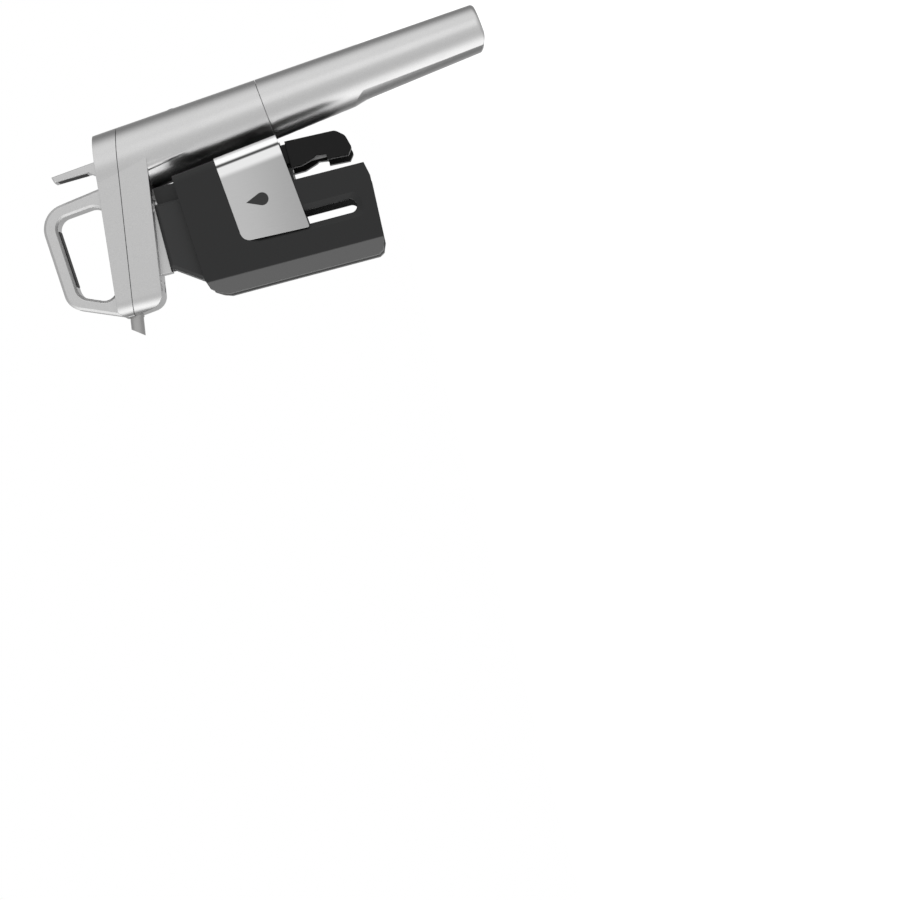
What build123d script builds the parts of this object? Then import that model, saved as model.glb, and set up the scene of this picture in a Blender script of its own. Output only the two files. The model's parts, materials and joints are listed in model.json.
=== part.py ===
from build123d import *
import os
from math import cos, radians, sin

os.makedirs("parts", exist_ok=True)

# A needle pourer that clamps on the neck of a wine bottle. Millimetres, +Z up along the needle and the
# bottle's neck, +X towards the spout, +Y to the left. The origin is the middle of the bottle's lip.

# ------------------------------------------------------------------------------ driving sizes
neck_r = 15.0                # bottle neck with its foil
running_gap = 0.05           # radial gap of pins and shafts that turn or slide
free_gap = 0.3               # gap between pieces that pass each other
skin_gap = 0.25              # shadow gap between the cover and the body
far = 100.0                  # reach of a cutting form that only has to pass right through

# stations along X, each a named step behind the bottle's neck
spine_front_x = -neck_r - 3.0
pin_x = spine_front_x - 6.0
rail_front_x = pin_x - 6.2
rail_web_x = rail_front_x - 2.0
rail_back_x = rail_web_x - 3.2
housing_front_x = rail_back_x - 8.1

# gas capsule and the thread round it
capsule_r = 10.0
capsule_length = 84.0
capsule_neck_r = 4.3
capsule_wall = 1.6
cup_bore_r = capsule_r + free_gap
cup_wall = 2.2               # of the cup's screw neck
thread_r = cup_bore_r + cup_wall     # mean radius of the screw
thread_length = 7.5
housing_wall = 2.25

# gas housing and cup: one long cone, leaning back as it goes down
cup_tilt = 6.0               # degrees from upright
seam_r = thread_r + housing_wall
seam_x, seam_z = housing_front_x - seam_r, -38.8   # middle of the seam between housing and cup
cone_taper = 0.0285          # radius gained per millimetre upwards
cup_length = 108.0
cup_end_round = 2.0
cup_toe_round = 11.0         # large round at the front of the cup's end
belly_depth = 1.0            # how far the finger strip is let into the cup's front
belly_r = 16.0
belly_start = 38.0           # from the seam down to where the strip begins
belly_ramp = 8.0

# arm
arm_tilt = 8.82              # degrees, rising towards the spout
arm_x, arm_z = seam_x + 6.25, 32.74  # the arm's own zero point, on the seam between body and cover
arm_rear_half = seam_r + 1.55
arm_front_half = 14.5
arm_front_x = 19.8
arm_under_z = 20.7           # underside at the inner corner
arm_under_x = arm_x + 9.9
arm_under_slope = 0.149
arm_nose_round = 7.0
arm_corner_round = 8.0
crown_x, crown_z = arm_x - 11.4, 42.5   # rear point of the cover's crown
crown_slope = 0.1058
crown_chamfer = 3.2
pocket_depth = 11.2
pocket_half = 12.6
shoulder_h = 66.0            # the housing grows square shoulders from the seam up to this height
shoulder_back = 6.0          # from the cone's axis back to the shoulders' rear
shoulder_front_low, shoulder_front_high = 6.45, 9.2
shoulder_half_low, shoulder_half_high = seam_r - 1.65, arm_rear_half - 0.3
shoulder_round = 3.0
inner_round = 3.0            # where the housing's front meets the arm's underside
boss_rear_x = rail_front_x - 0.8     # the boss under the arm that holds the rail and the needle
boss_front_x = 4.3
boss_half = 7.0
boss_bottom_z = 22.3

# loop handle
loop_half = 9.0
loop_chamfer = 1.2
loop_outer = [(-42.5, 39.0), (-37.4, 75.7), (8.5, 73.0), (arm_front_x - 0.2, 46.8), (arm_front_x - 0.3, 40.0)]
loop_inner = [(-34.7, 44.5), (-32.5, 68.9), (4.8, 66.6), (12.2, 49.6)]
loop_outer_rounds = [0, 12.0, 9.0, 0, 0]
loop_inner_round = 6.0
insert_length = 27.0
insert_half = 5.5
insert_depth = 1.4
insert_proud = 0.4

# trigger and gas valve, in the arm's own coordinates
pivot_x, pivot_h = 0.5, 3.2
trigger_half = 7.0
trigger_pin_r = 1.5
hub_r = 3.6
nose_reach = 9.0             # from the pivot to the nose, which sets the valve's travel
nose_drop = 2.7
nose_r = 1.5
valve_travel = 1.6
plunger_r = 1.6
plunger_head_r = 3.0
plunger_head_h = 1.45

# needle and flow path
needle_r = 0.8
needle_bore_r = 0.45
needle_tip_z = -58.0
needle_top_z = 36.0
hub_flange_r = 5.5
spout_r = 3.15
spout_root_r = spout_r + 0.35    # the stretch that sits in the arm's front wall
spout_flange_r = spout_root_r + 0.8
spout_bore_r = spout_r - 0.95
spout_out = 8.6              # how far the spout's upper side stands out of the arm

# guide rail on which the body slides, and its channel in the clamp
rail_flange_half = 6.0
rail_web_half = 3.5
rail_bottom_z = -70.0
rail_top_z = 24.0
liner_t = 1.0

# clamp
frame_half = rail_flange_half + 2.3
frame_bottom_z = -44.0
head_half = neck_r + 1.5
head_top_z = 21.7
head_bottom_z = 2.0
gasket_t = 2.0
pin_y, pin_r = neck_r - 2.0, 2.0
lug_h = 4.0
barrel_r = pin_r + 2.0
pad_t = 2.5
pad_h = 15.0
pad_room = 0.5               # between the pad's back and the jaw's wall
jaw_wall = 4.0
jaw_inner_y = neck_r + pad_t + pad_room
jaw_half = jaw_inner_y + jaw_wall
jaw_front_wall = 3.5
jaw_front_x = neck_r + 6.2
jaw_bevel_x = jaw_front_x - 6.8
jaw_bevel_y = jaw_half - 8.5
jaw_gap_half = 6.0           # half of the gap between the two jaws at the front
jaw_rear_round = 3.8
badge_t = 0.5
slot_x, slot_half = -3.15, 3.25
slot_top_z, slot_end_z = -20.0, -69.0
slot_bevel = 2.75
slot_bevel_depth = 1.5
lever_in, lever_out = jaw_inner_y - 5.0, jaw_half - 2.5

# ------------------------------------------------------------------------------ frames
tilt = radians(cup_tilt)
rise = radians(arm_tilt)
cup_plane = Plane(origin=(seam_x, 0, seam_z), x_dir=(cos(tilt), 0, -sin(tilt)), z_dir=(sin(tilt), 0, cos(tilt)))
cup_side = Plane(origin=(seam_x, 0, seam_z), x_dir=(cos(tilt), 0, -sin(tilt)), z_dir=(0, -1, 0))
arm_plane = Plane(origin=(arm_x, 0, arm_z), x_dir=(cos(rise), 0, sin(rise)), z_dir=(-sin(rise), 0, cos(rise)))
arm_side = Plane(origin=(arm_x, 0, arm_z), x_dir=(cos(rise), 0, sin(rise)), z_dir=(0, -1, 0))
crown_angle = Vector(1, 0, crown_slope).normalized()
crown_plane = Plane(origin=(crown_x, 0, crown_z), x_dir=crown_angle, z_dir=(-crown_angle.Z, 0, crown_angle.X))
pivot = arm_plane.from_local_coords(Vector(pivot_x, 0, pivot_h))
nose = arm_plane.from_local_coords(Vector(pivot_x + nose_reach, 0, pivot_h - nose_drop))
arm_end = (arm_front_x - arm_x) / cos(rise) + 0.55   # the arm's front wall, in the arm's own coordinates


# ------------------------------------------------------------------------------ helpers
def save(piece, name):
    """Labels a finished piece and writes it to its own file."""
    piece.label = name
    export_step(piece, f"parts/{name}.step")


def block(x, y, z, mode=Mode.ADD):
    """A box between two limits along each axis of the part being built."""
    with Locations([((x[0] + x[1]) / 2, (y[0] + y[1]) / 2, (z[0] + z[1]) / 2)]):
        Box(x[1] - x[0], y[1] - y[0], z[1] - z[0], mode=mode)


def post(x, y, z, radius, mode=Mode.ADD):
    """A round post at x and y between two heights of the part being built."""
    with Locations([(x, y, (z[0] + z[1]) / 2)]):
        Cylinder(radius, z[1] - z[0], mode=mode)


def bar(x, h, radius, mode=Mode.ADD):
    """A round bar along X of the part being built, between two X and at a height."""
    with Locations(Location(((x[0] + x[1]) / 2, 0, h), (0, 90, 0))):
        Cylinder(radius, x[1] - x[0], mode=mode)


def cone_r(height):
    """Radius of the long cone at a height above the seam."""
    return seam_r + cone_taper * height


def coil(plane, z, mean_r, wire_r, turns):
    """A round-wire coil spring between two heights of a plane."""
    low, high = z[0] + wire_r, z[1] - wire_r
    pitch = (high - low) / turns
    path = plane * (Pos(0, 0, low) * Helix(pitch=pitch, height=high - low, radius=mean_r))
    with BuildPart() as spring:
        with BuildSketch(Plane(origin=path @ 0, z_dir=path % 0)):
            Circle(wire_r)
        sweep(path=path, is_frenet=True)
    return spring.part


# ------------------------------------------------------------------------------ outer form of the body
under_front_x = arm_front_x - 1.7
arm_profile = [
    (arm_x + 1, arm_under_z + (arm_x + 1 - arm_under_x) * arm_under_slope),
    (under_front_x, arm_under_z + (under_front_x - arm_under_x) * arm_under_slope),
    (arm_front_x, 43.2),
    (arm_front_x - 0.1, 60.0),
    (arm_x + 1, 60.0),
]

# the corner under the arm, where the shoulders' front line meets the arm's underside
shoulder_low = cup_plane.from_local_coords(Vector(shoulder_front_low, 0, 0))
shoulder_high = cup_plane.from_local_coords(Vector(shoulder_front_high, 0, shoulder_h))
shoulder_dir = (shoulder_high - shoulder_low).normalized()
under_dir = Vector(1, 0, arm_under_slope).normalized()
height_under = arm_under_z + (shoulder_low.X - arm_under_x) * arm_under_slope - shoulder_low.Z
corner = shoulder_low + shoulder_dir * (height_under / (shoulder_dir.Z - shoulder_dir.X * arm_under_slope))
web = 2 * inner_round
inner_web = [corner + under_dir * web, corner, corner - shoulder_dir * web, corner + (shoulder_dir - under_dir) * 2]


def shoulder_outline(front, half):
    """The housing's square shoulders in a plane across the cone, from behind its axis to a front face."""
    with Locations(((front - shoulder_back) / 2, 0)):
        RectangleRounded(front + shoulder_back, 2 * half, shoulder_round)


with BuildPart() as body_form:
    with BuildSketch(Plane.XZ):
        with BuildLine():
            Polyline(*arm_profile, close=True)
        make_face()
    extrude(amount=2 * arm_rear_half, both=True)
    nose_edge = body_form.edges().filter_by(Axis.Y).sort_by(lambda e: e.center().X - e.center().Z)[-1]
    fillet(nose_edge, arm_nose_round)
    with BuildSketch(Plane.XY) as plan:
        with BuildLine():
            Polyline((arm_x, -arm_rear_half), (arm_front_x, -arm_front_half), (arm_front_x, arm_front_half),
                     (arm_x, arm_rear_half), close=True)
        make_face()
        fillet(plan.vertices().sort_by(Axis.X)[-2:], arm_corner_round)
    extrude(amount=far, mode=Mode.INTERSECT)
    with BuildSketch(cup_plane):
        Circle(seam_r)
    with BuildSketch(cup_plane.offset(far)):
        Circle(cone_r(far))
    loft()
    with BuildSketch(cup_plane):
        shoulder_outline(shoulder_front_low, shoulder_half_low)
    with BuildSketch(cup_plane.offset(shoulder_h)):
        shoulder_outline(shoulder_front_high, shoulder_half_high)
    loft()
    with BuildSketch(Plane.XZ):
        with BuildLine():
            FilletPolyline(*[(point.X, point.Z) for point in inner_web], radius=[0, inner_round, 0, 0], close=True)
        make_face()
    extrude(amount=shoulder_half_high - shoulder_round, both=True)
    split(bisect_by=crown_plane, keep=Keep.BOTTOM)
    chamfer(body_form.faces().sort_by(Axis.Z)[-1].edges(), crown_chamfer)


# ------------------------------------------------------------------------------ handle body: main shell
housing_bore_r = thread_r + running_gap
socket_r = thread_r - 1.3    # bore of the regulator's socket
socket_low = thread_length + 2.0     # where the socket starts above the seam
socket_high = 62.0
needle_hub_r = 4.0
hub_seat_z = 30.0            # top of the boss, on which the needle's hub rests
cover_screw_x = (24.0, 60.0)
cover_screw_y = 9.6
cover_screw_r = 1.25
cover_screw_head_r = 2.5
cover_screw_head_h = 1.8
cover_screw_seat = -pocket_depth - 0.2
cover_screw_reach = 4.0      # of the screw into the cover
cover_boss_r = 3.0
vent_height = 41.5
vent_r = 1.5
rail_screw_x, rail_screw_y, rail_screw_r = rail_web_x + 0.5, 3.0, 0.9
pocket_x = (-8.0, arm_end - 7.2)     # the arm's hollow, in its own coordinates
pocket_top = 5.0

with BuildPart(cup_plane) as housing_bore:
    post(0, 0, (-1, socket_low), housing_bore_r)
    post(0, 0, (socket_low, socket_high), socket_r)

with BuildPart(arm_plane) as arm_pocket:
    block(pocket_x, (-pocket_half, pocket_half), (-pocket_depth, pocket_top))
    for x in cover_screw_x:
        for side in (-1, 1):
            boss_y = sorted((side * (cover_screw_y - cover_boss_r), side * (pocket_half + 1)))
            block((x - cover_boss_r, x + cover_boss_r), boss_y, (-pocket_depth, pocket_top), mode=Mode.SUBTRACT)

with BuildPart(arm_plane) as spout_bore:
    bar((arm_end - 9.2, arm_end + 2.8), 0, spout_root_r)

with BuildPart(cup_plane) as vent_hole:
    bar((-cone_r(vent_height) - 2, -cone_r(vent_height) + 2), vent_height, vent_r)

with BuildPart(arm_plane) as cover_screw_holes:
    for x in cover_screw_x:
        for side in (-1, 1):
            post(x, side * cover_screw_y, (cover_screw_seat - 5, 0), cover_screw_r + running_gap)
            post(x, side * cover_screw_y, (cover_screw_seat - 9, cover_screw_seat), cover_screw_head_r + 0.2)

with BuildPart() as main_body:
    add(body_form.part)
    with BuildSketch(Plane.XZ):
        with BuildLine():
            Polyline((boss_rear_x, boss_bottom_z), (boss_front_x, boss_bottom_z), (boss_front_x, hub_seat_z),
                     (boss_rear_x, hub_seat_z - 4), close=True)
        make_face()
    extrude(amount=boss_half, both=True)
    split(bisect_by=arm_plane, keep=Keep.BOTTOM)
    add(housing_bore.part, mode=Mode.SUBTRACT)
    add(arm_pocket.part, mode=Mode.SUBTRACT)
    add(spout_bore.part, mode=Mode.SUBTRACT)
    add(vent_hole.part, mode=Mode.SUBTRACT)
    add(cover_screw_holes.part, mode=Mode.SUBTRACT)
    post(0, 0, (boss_bottom_z - 2, hub_seat_z), needle_hub_r, mode=Mode.SUBTRACT)
    post(0, 0, (hub_seat_z, hub_seat_z + 10), hub_flange_r + 0.1, mode=Mode.SUBTRACT)
    block((rail_web_x, rail_front_x), (-rail_flange_half, rail_flange_half), (15, rail_top_z), mode=Mode.SUBTRACT)
    block((rail_back_x, rail_web_x), (-rail_web_half, rail_web_half), (15, rail_top_z), mode=Mode.SUBTRACT)
    for side in (-1, 1):
        post(rail_screw_x, side * rail_screw_y, (rail_top_z - 4, rail_top_z + 6), rail_screw_r + running_gap,
             mode=Mode.SUBTRACT)
save(main_body.part, "main_body")

# ------------------------------------------------------------------------------ handle body: cover and loop
bay_half = trigger_half + 0.5
trigger_pin_half = bay_half + 3.5
loop_slope_x, loop_slope_z = loop_inner[2][0] - loop_inner[1][0], loop_inner[2][1] - loop_inner[1][1]
insert_dir = Vector(loop_slope_x, 0, loop_slope_z).normalized()
insert_mid = ((loop_inner[1][0] + loop_inner[2][0]) / 2, 0, (loop_inner[1][1] + loop_inner[2][1]) / 2)
insert_plane = Plane(origin=insert_mid, x_dir=insert_dir, z_dir=(-insert_dir.Z, 0, insert_dir.X))
insert_back = insert_depth - insert_proud
bay_x = (-6.5, 12.5)         # the bay under the cover that holds the trigger's hub and nose
bay_top = 8.2
flow_bay_half = spout_flange_r + 2.2
blade_slot_x = (pivot.X - 3.2, pivot.X + 6.4)

def rounded_outline(points, rounds):
    """A face in X and Z from corner points, each corner with its own round (0 leaves it sharp)."""
    with BuildSketch(Plane.XZ) as outline:
        with BuildLine():
            FilletPolyline(*points, radius=rounds, close=True)
        make_face()
    return outline.sketch


with BuildPart() as loop:
    extrude(rounded_outline(loop_outer, loop_outer_rounds), amount=loop_half, both=True)
    extrude(rounded_outline(loop_inner, loop_inner_round), amount=loop_half, both=True, mode=Mode.SUBTRACT)
    chamfer(loop.faces().filter_by(Axis.Y).edges(), loop_chamfer)

with BuildPart(insert_plane) as insert_seat:
    block((-insert_length / 2, insert_length / 2), (-insert_half, insert_half), (-2, insert_back))

with BuildPart(arm_plane) as cover_pockets:
    block(bay_x, (-bay_half, bay_half), (-1, bay_top))
    block((bay_x[1] + 5.5, pocket_x[1]), (-flow_bay_half, flow_bay_half), (-1, pocket_top))

with BuildPart(arm_plane) as cover_screw_taps:
    for x in cover_screw_x:
        for side in (-1, 1):
            post(x, side * cover_screw_y, (-1, cover_screw_reach + 0.2), cover_screw_r)

with BuildPart() as top_cover:
    add(body_form.part)
    add(loop.part)
    split(bisect_by=arm_plane.offset(skin_gap), keep=Keep.TOP)
    add(cover_pockets.part, mode=Mode.SUBTRACT)
    add(cover_screw_taps.part, mode=Mode.SUBTRACT)
    add(spout_bore.part, mode=Mode.SUBTRACT)
    add(insert_seat.part, mode=Mode.SUBTRACT)
    block(blade_slot_x, (-bay_half, bay_half), (pivot.Z + 2, pivot.Z + 14), mode=Mode.SUBTRACT)
    with BuildSketch(arm_side):
        with Locations((pivot_x, pivot_h)):
            Circle(trigger_pin_r)
    extrude(amount=trigger_pin_half, both=True, mode=Mode.SUBTRACT)
save(top_cover.part, "top_cover")

with BuildPart(insert_plane) as loop_insert:
    block((-insert_length / 2 + running_gap, insert_length / 2 - running_gap),
          (-insert_half + running_gap, insert_half - running_gap), (-insert_proud, insert_back))
    fillet(loop_insert.faces().sort_by(Axis.Z)[0].edges(), 0.3)
save(loop_insert.part, "loop_insert")

with BuildPart(arm_plane) as cover_screws:
    for x in cover_screw_x:
        for side in (-1, 1):
            post(x, side * cover_screw_y, (cover_screw_seat, cover_screw_reach), cover_screw_r)
            post(x, side * cover_screw_y, (cover_screw_seat - cover_screw_head_h, cover_screw_seat),
                 cover_screw_head_r)
save(cover_screws.part, "cover_screws")

# ------------------------------------------------------------------------------ needle, hub and flow path
needle_cone = 4.0            # length of the needle's point
needle_hole_r = 0.35
hub_flange_t = 2.0
needle_seal_t, needle_seal_r = 1.0, 3.0
seal_z = hub_seat_z + hub_flange_t
with BuildPart() as needle:
    post(0, 0, (needle_tip_z + needle_cone, needle_top_z), needle_r)
    with BuildSketch(Plane.XY.offset(needle_tip_z + needle_cone)):
        Circle(needle_r)
    with BuildSketch(Plane.XY.offset(needle_tip_z)):
        Circle(0.05)
    loft()
    post(0, 0, (needle_tip_z + needle_cone + 3, needle_top_z), needle_bore_r, mode=Mode.SUBTRACT)
    bar((-2 * needle_r, 2 * needle_r), needle_tip_z + needle_cone + 5, needle_hole_r, mode=Mode.SUBTRACT)
save(needle.part, "needle")

with BuildPart() as needle_hub:
    post(0, 0, (boss_bottom_z + free_gap, hub_seat_z), needle_hub_r)
    post(0, 0, (hub_seat_z, seal_z), hub_flange_r)
    post(0, 0, (boss_bottom_z, seal_z), needle_r, mode=Mode.SUBTRACT)
save(needle_hub.part, "needle_hub")

with BuildPart() as needle_seal:
    post(0, 0, (seal_z, seal_z + needle_seal_t), needle_seal_r)
    post(0, 0, (seal_z, seal_z + needle_seal_t), needle_r, mode=Mode.SUBTRACT)
save(needle_seal.part, "needle_seal")

# the flow block joins the needle's top to the gas line behind it and the pouring tube ahead of it
flow_x = (45.5, 57.5)
flow_half = 6.0
flow_h = (-6.8, 2.6)
gas_line_h, gas_line_r = -5.6, 1.1
tube_wall = 0.4
with BuildPart(arm_plane) as flow_blank:
    block(flow_x, (-flow_half, flow_half), flow_h)
with BuildPart() as flow_block:
    add(flow_blank.part)
    post(0, 0, (hub_seat_z, needle_top_z), needle_r, mode=Mode.SUBTRACT)
save(flow_block.part, "flow_block")

valve_x = (-6.0, 14.5)
with BuildPart(arm_plane) as gas_tube:
    bar((valve_x[1], flow_x[0]), gas_line_h, gas_line_r)
    bar((valve_x[1], flow_x[0]), gas_line_h, gas_line_r - tube_wall, mode=Mode.SUBTRACT)
save(gas_tube.part, "gas_tube")

spout_in = arm_end - 11.2    # the spout's inner end
flange_t = 2.5
seal_t = 1.5
pour_end = spout_in + 4.0
with BuildPart(arm_plane) as pour_tube:
    bar((flow_x[1], pour_end), 0, spout_bore_r)
    bar((flow_x[1], pour_end), 0, spout_bore_r - 1.5 * tube_wall, mode=Mode.SUBTRACT)
save(pour_tube.part, "pour_tube")

spout_end_slant = 3.4        # how much further the spout's lower side reaches
with BuildPart(arm_plane) as spout:
    with BuildSketch(arm_side):
        with BuildLine():
            Polyline((spout_in, spout_r), (arm_end + spout_out - spout_end_slant, spout_r),
                     (arm_end + spout_out, -spout_r), (spout_in, -spout_r), close=True)
        make_face()
    extrude(amount=spout_r, both=True)
    bar((spout_in, arm_end + far), 0, spout_r, mode=Mode.INTERSECT)
    bar((spout_in, arm_end), 0, spout_root_r)
    bar((spout_in, spout_in + flange_t), 0, spout_flange_r)
    bar((spout_in, arm_end + far), 0, spout_bore_r, mode=Mode.SUBTRACT)
save(spout.part, "spout")

with BuildPart(arm_plane) as spout_seal:
    bar((spout_in + flange_t, spout_in + flange_t + seal_t), 0, spout_flange_r)
    bar((spout_in + flange_t, spout_in + flange_t + seal_t), 0, spout_root_r, mode=Mode.SUBTRACT)
save(spout_seal.part, "spout_seal")

# ------------------------------------------------------------------------------ gas valve in the arm
valve_axis_x = pivot_x + nose_reach
plunger_top = pivot_h - nose_drop - nose_r - running_gap
head_low = plunger_top - plunger_head_h
valve_top = head_low - valve_travel - free_gap
valve_half = 8.0
well_r = plunger_head_r + 0.2
valve_seal_t = 1.3
well_low = -pocket_depth + 0.9
valve_wire_r = 0.25
with BuildPart(arm_plane) as valve_block:
    block(valve_x, (-valve_half, valve_half), (-pocket_depth, valve_top))
    post(valve_axis_x, 0, (well_low, valve_top), well_r, mode=Mode.SUBTRACT)
    post(valve_axis_x, 0, (-pocket_depth, well_low), plunger_r + running_gap, mode=Mode.SUBTRACT)
save(valve_block.part, "valve_block")

with BuildPart(arm_plane) as valve_seal:
    post(valve_axis_x, 0, (well_low, well_low + valve_seal_t), well_r)
    post(valve_axis_x, 0, (well_low, well_low + valve_seal_t), plunger_r + running_gap, mode=Mode.SUBTRACT)
save(valve_seal.part, "valve_seal")

with BuildPart(arm_plane) as valve_plunger:
    post(valve_axis_x, 0, (head_low, plunger_top), plunger_head_r)
    post(valve_axis_x, 0, (-pocket_depth + valve_travel + 0.2, head_low), plunger_r)
save(valve_plunger.part, "valve_plunger")
valve_spring = coil(arm_plane * Pos(valve_axis_x, 0, 0), (well_low + valve_seal_t, head_low),
                    (plunger_r + well_r) / 2, valve_wire_r, 5)
save(valve_spring, "valve_spring")

feed_low = 42.0
feed_r = 1.5
gas_hole_r = 0.9
with BuildPart(cup_plane) as feed_tube:
    post(0, 0, (feed_low, far), feed_r)
    split(bisect_by=arm_plane.offset(-pocket_depth), keep=Keep.BOTTOM)
    post(0, 0, (feed_low, far), gas_hole_r, mode=Mode.SUBTRACT)
save(feed_tube.part, "feed_tube")

# ------------------------------------------------------------------------------ trigger
blade = [(pivot.X + x, pivot.Z + z) for x, z in (
    (-2.5, 7.0), (-0.5, 29.4), (2.3, 28.6), (1.9, 11.5), (4.0, 8.7), (3.6, 2.0), (1.0, -2.0), (-2.0, 0.0))]
grip_low, grip_high = pivot.Z + 13.0, pivot.Z + 27.0
grip_back_x, grip_face_x = pivot.X + 1.0, pivot.X + 2.0
with BuildPart() as trigger_grip_seat:
    with BuildSketch(Plane.XZ):
        with BuildLine():
            Polyline((grip_back_x, grip_low), (grip_back_x + 0.3, grip_high), (grip_face_x + 1.5, grip_high),
                     (grip_face_x + 1.5, grip_low), close=True)
        make_face()
    extrude(amount=trigger_half - 1.2, both=True)
with BuildPart() as trigger_lever:
    with BuildSketch(Plane.XZ):
        with BuildLine():
            Polyline(*blade, close=True)
        make_face()
        with Locations((pivot.X, pivot.Z)):
            Circle(hub_r)
        with BuildLine():
            Polyline((pivot.X, pivot.Z + 2.5), (nose.X + 1.2, nose.Z + 1.5), (nose.X, nose.Z - 0.5),
                     (pivot.X, pivot.Z - 2.5), close=True)
        make_face()
        with Locations((nose.X, nose.Z)):
            Circle(nose_r)
    extrude(amount=trigger_half, both=True)
    tip = trigger_lever.edges().filter_by(lambda e: e.center().Z > 50 and abs(e.center().Y) > 3)
    chamfer(tip, 0.5)
    add(trigger_grip_seat.part, mode=Mode.SUBTRACT)
    with BuildSketch(Plane.XZ):
        with Locations((pivot.X, pivot.Z)):
            Circle(trigger_pin_r + running_gap)
    extrude(amount=2 * trigger_half, both=True, mode=Mode.SUBTRACT)
save(trigger_lever.part, "trigger_lever")

with BuildPart() as trigger_grip:
    add(trigger_grip_seat.part)
    with BuildSketch(Plane.XZ):
        with BuildLine():
            Polyline((grip_face_x, grip_low - 5), (grip_face_x + 0.3, grip_high + 5), (0, grip_high + 5),
                     (0, grip_low - 5), close=True)
        make_face()
    extrude(amount=far, both=True, mode=Mode.SUBTRACT)
save(trigger_grip.part, "trigger_grip")

with BuildPart() as trigger_pin:
    with BuildSketch(Plane.XZ):
        with Locations((pivot.X, pivot.Z)):
            Circle(trigger_pin_r)
    extrude(amount=trigger_pin_half, both=True)
save(trigger_pin.part, "trigger_pin")

# ------------------------------------------------------------------------------ regulator in the housing
# heights above the seam, from the capsule's top up to the feed tube
capsule_top = 8.0
regulator_foot = capsule_top + 1.7
regulator_low = regulator_foot + 2.3
regulator_floor = 16.0
piston_low, piston_top = 20.0, 24.0
cap_low, cap_flange = 36.0, 40.0
regulator_bore_r = 7.0
with BuildPart(cup_plane) as regulator_body:
    post(0, 0, (regulator_low, cap_flange), socket_r)
    post(0, 0, (regulator_foot, regulator_low), regulator_bore_r - 1)
    post(0, 0, (regulator_floor, cap_flange), regulator_bore_r, mode=Mode.SUBTRACT)
    post(0, 0, (regulator_foot, regulator_floor), gas_hole_r, mode=Mode.SUBTRACT)
save(regulator_body.part, "regulator_body")

with BuildPart(cup_plane) as capsule_seal:
    post(0, 0, (capsule_top + 0.1, regulator_foot), capsule_neck_r)
    post(0, 0, (capsule_top, regulator_foot), 1.3, mode=Mode.SUBTRACT)
save(capsule_seal.part, "capsule_seal")

pierce_low = capsule_top - 1.5
with BuildPart(cup_plane) as pierce_pin:
    post(0, 0, (pierce_low, regulator_floor + 1), gas_hole_r)
    with BuildSketch(cup_plane.offset(pierce_low)):
        Circle(gas_hole_r)
    with BuildSketch(cup_plane.offset(pierce_low - 1.5)):
        Circle(0.1)
    loft()
save(pierce_pin.part, "pierce_pin")

with BuildPart(cup_plane) as regulator_piston:
    post(0, 0, (piston_low - 1.5, piston_low), 1.5)
    post(0, 0, (piston_low, piston_top), regulator_bore_r - running_gap)
save(regulator_piston.part, "regulator_piston")
save(coil(cup_plane, (piston_top, cap_low), regulator_bore_r - 2, 0.5, 5), "regulator_spring")

with BuildPart(cup_plane) as regulator_cap:
    post(0, 0, (cap_low, cap_flange), regulator_bore_r)
    post(0, 0, (cap_flange, feed_low), regulator_bore_r + 2)
    post(0, 0, (cap_low, feed_low), gas_hole_r, mode=Mode.SUBTRACT)
save(regulator_cap.part, "regulator_cap")

vent_plug_x = -cone_r(vent_height)
with BuildPart(cup_plane) as vent_plug:
    bar((vent_plug_x - 0.1, vent_plug_x + 1.9), vent_height, vent_r - running_gap)
    bar((vent_plug_x - 1, vent_plug_x + 3), vent_height, 0.6, mode=Mode.SUBTRACT)
save(vent_plug.part, "vent_plug")

# ------------------------------------------------------------------------------ gas capsule and its cup
capsule_low = capsule_top - capsule_length
shoulder_low = capsule_top - 14.0
with BuildPart() as gas_capsule:
    with BuildSketch(cup_side):
        with BuildLine():
            Polyline((0, capsule_low), (capsule_r, capsule_low), (capsule_r, shoulder_low),
                     (capsule_neck_r, shoulder_low + 7), (capsule_neck_r, capsule_top), (0, capsule_top), close=True)
        make_face()
    revolve(axis=Axis(cup_plane.origin, cup_plane.z_dir))
    fillet(gas_capsule.edges().group_by(Axis.Z)[0], 1.5)
    with BuildSketch(cup_side):
        with BuildLine():
            Polyline((0, capsule_low + capsule_wall), (capsule_r - capsule_wall, capsule_low + capsule_wall),
                     (capsule_r - capsule_wall, shoulder_low - 1), (1.2, shoulder_low + 6), (1.2, capsule_top),
                     (0, capsule_top), close=True)
        make_face()
    revolve(axis=Axis(cup_plane.origin, cup_plane.z_dir), mode=Mode.SUBTRACT)
save(gas_capsule.part, "gas_capsule")

bumper_t = 3.0
bore_low = capsule_low - bumper_t
beyond = 2 * seam_r          # a radius that is well outside the cup
with BuildPart() as cup_side_form:
    with BuildSketch(cup_side):
        with BuildLine():
            FilletPolyline((-beyond, 20), (beyond, 20), (cone_r(-cup_length), -cup_length), (-beyond, -cup_length),
                           radius=[1, 1, cup_toe_round, 1], close=True)
        make_face()
    extrude(amount=beyond, both=True)


def belly_circle(height, depth):
    """The section of the finger strip's surface: a flatter circle set into the cup's front."""
    plane = cup_plane.offset(height)
    with BuildSketch(plane) as section:
        with Locations((cone_r(height) - depth - belly_r, 0)):
            Circle(belly_r)
    return section.sketch


with BuildPart() as belly_form:
    loft([belly_circle(-belly_start, -0.3), belly_circle(-belly_start - belly_ramp, belly_depth),
          belly_circle(-cup_length - 5, belly_depth)], ruled=True)
    with BuildSketch(cup_plane.offset(-belly_start)):
        Circle(beyond)
    extrude(amount=belly_start + 2 * thread_length)

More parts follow.
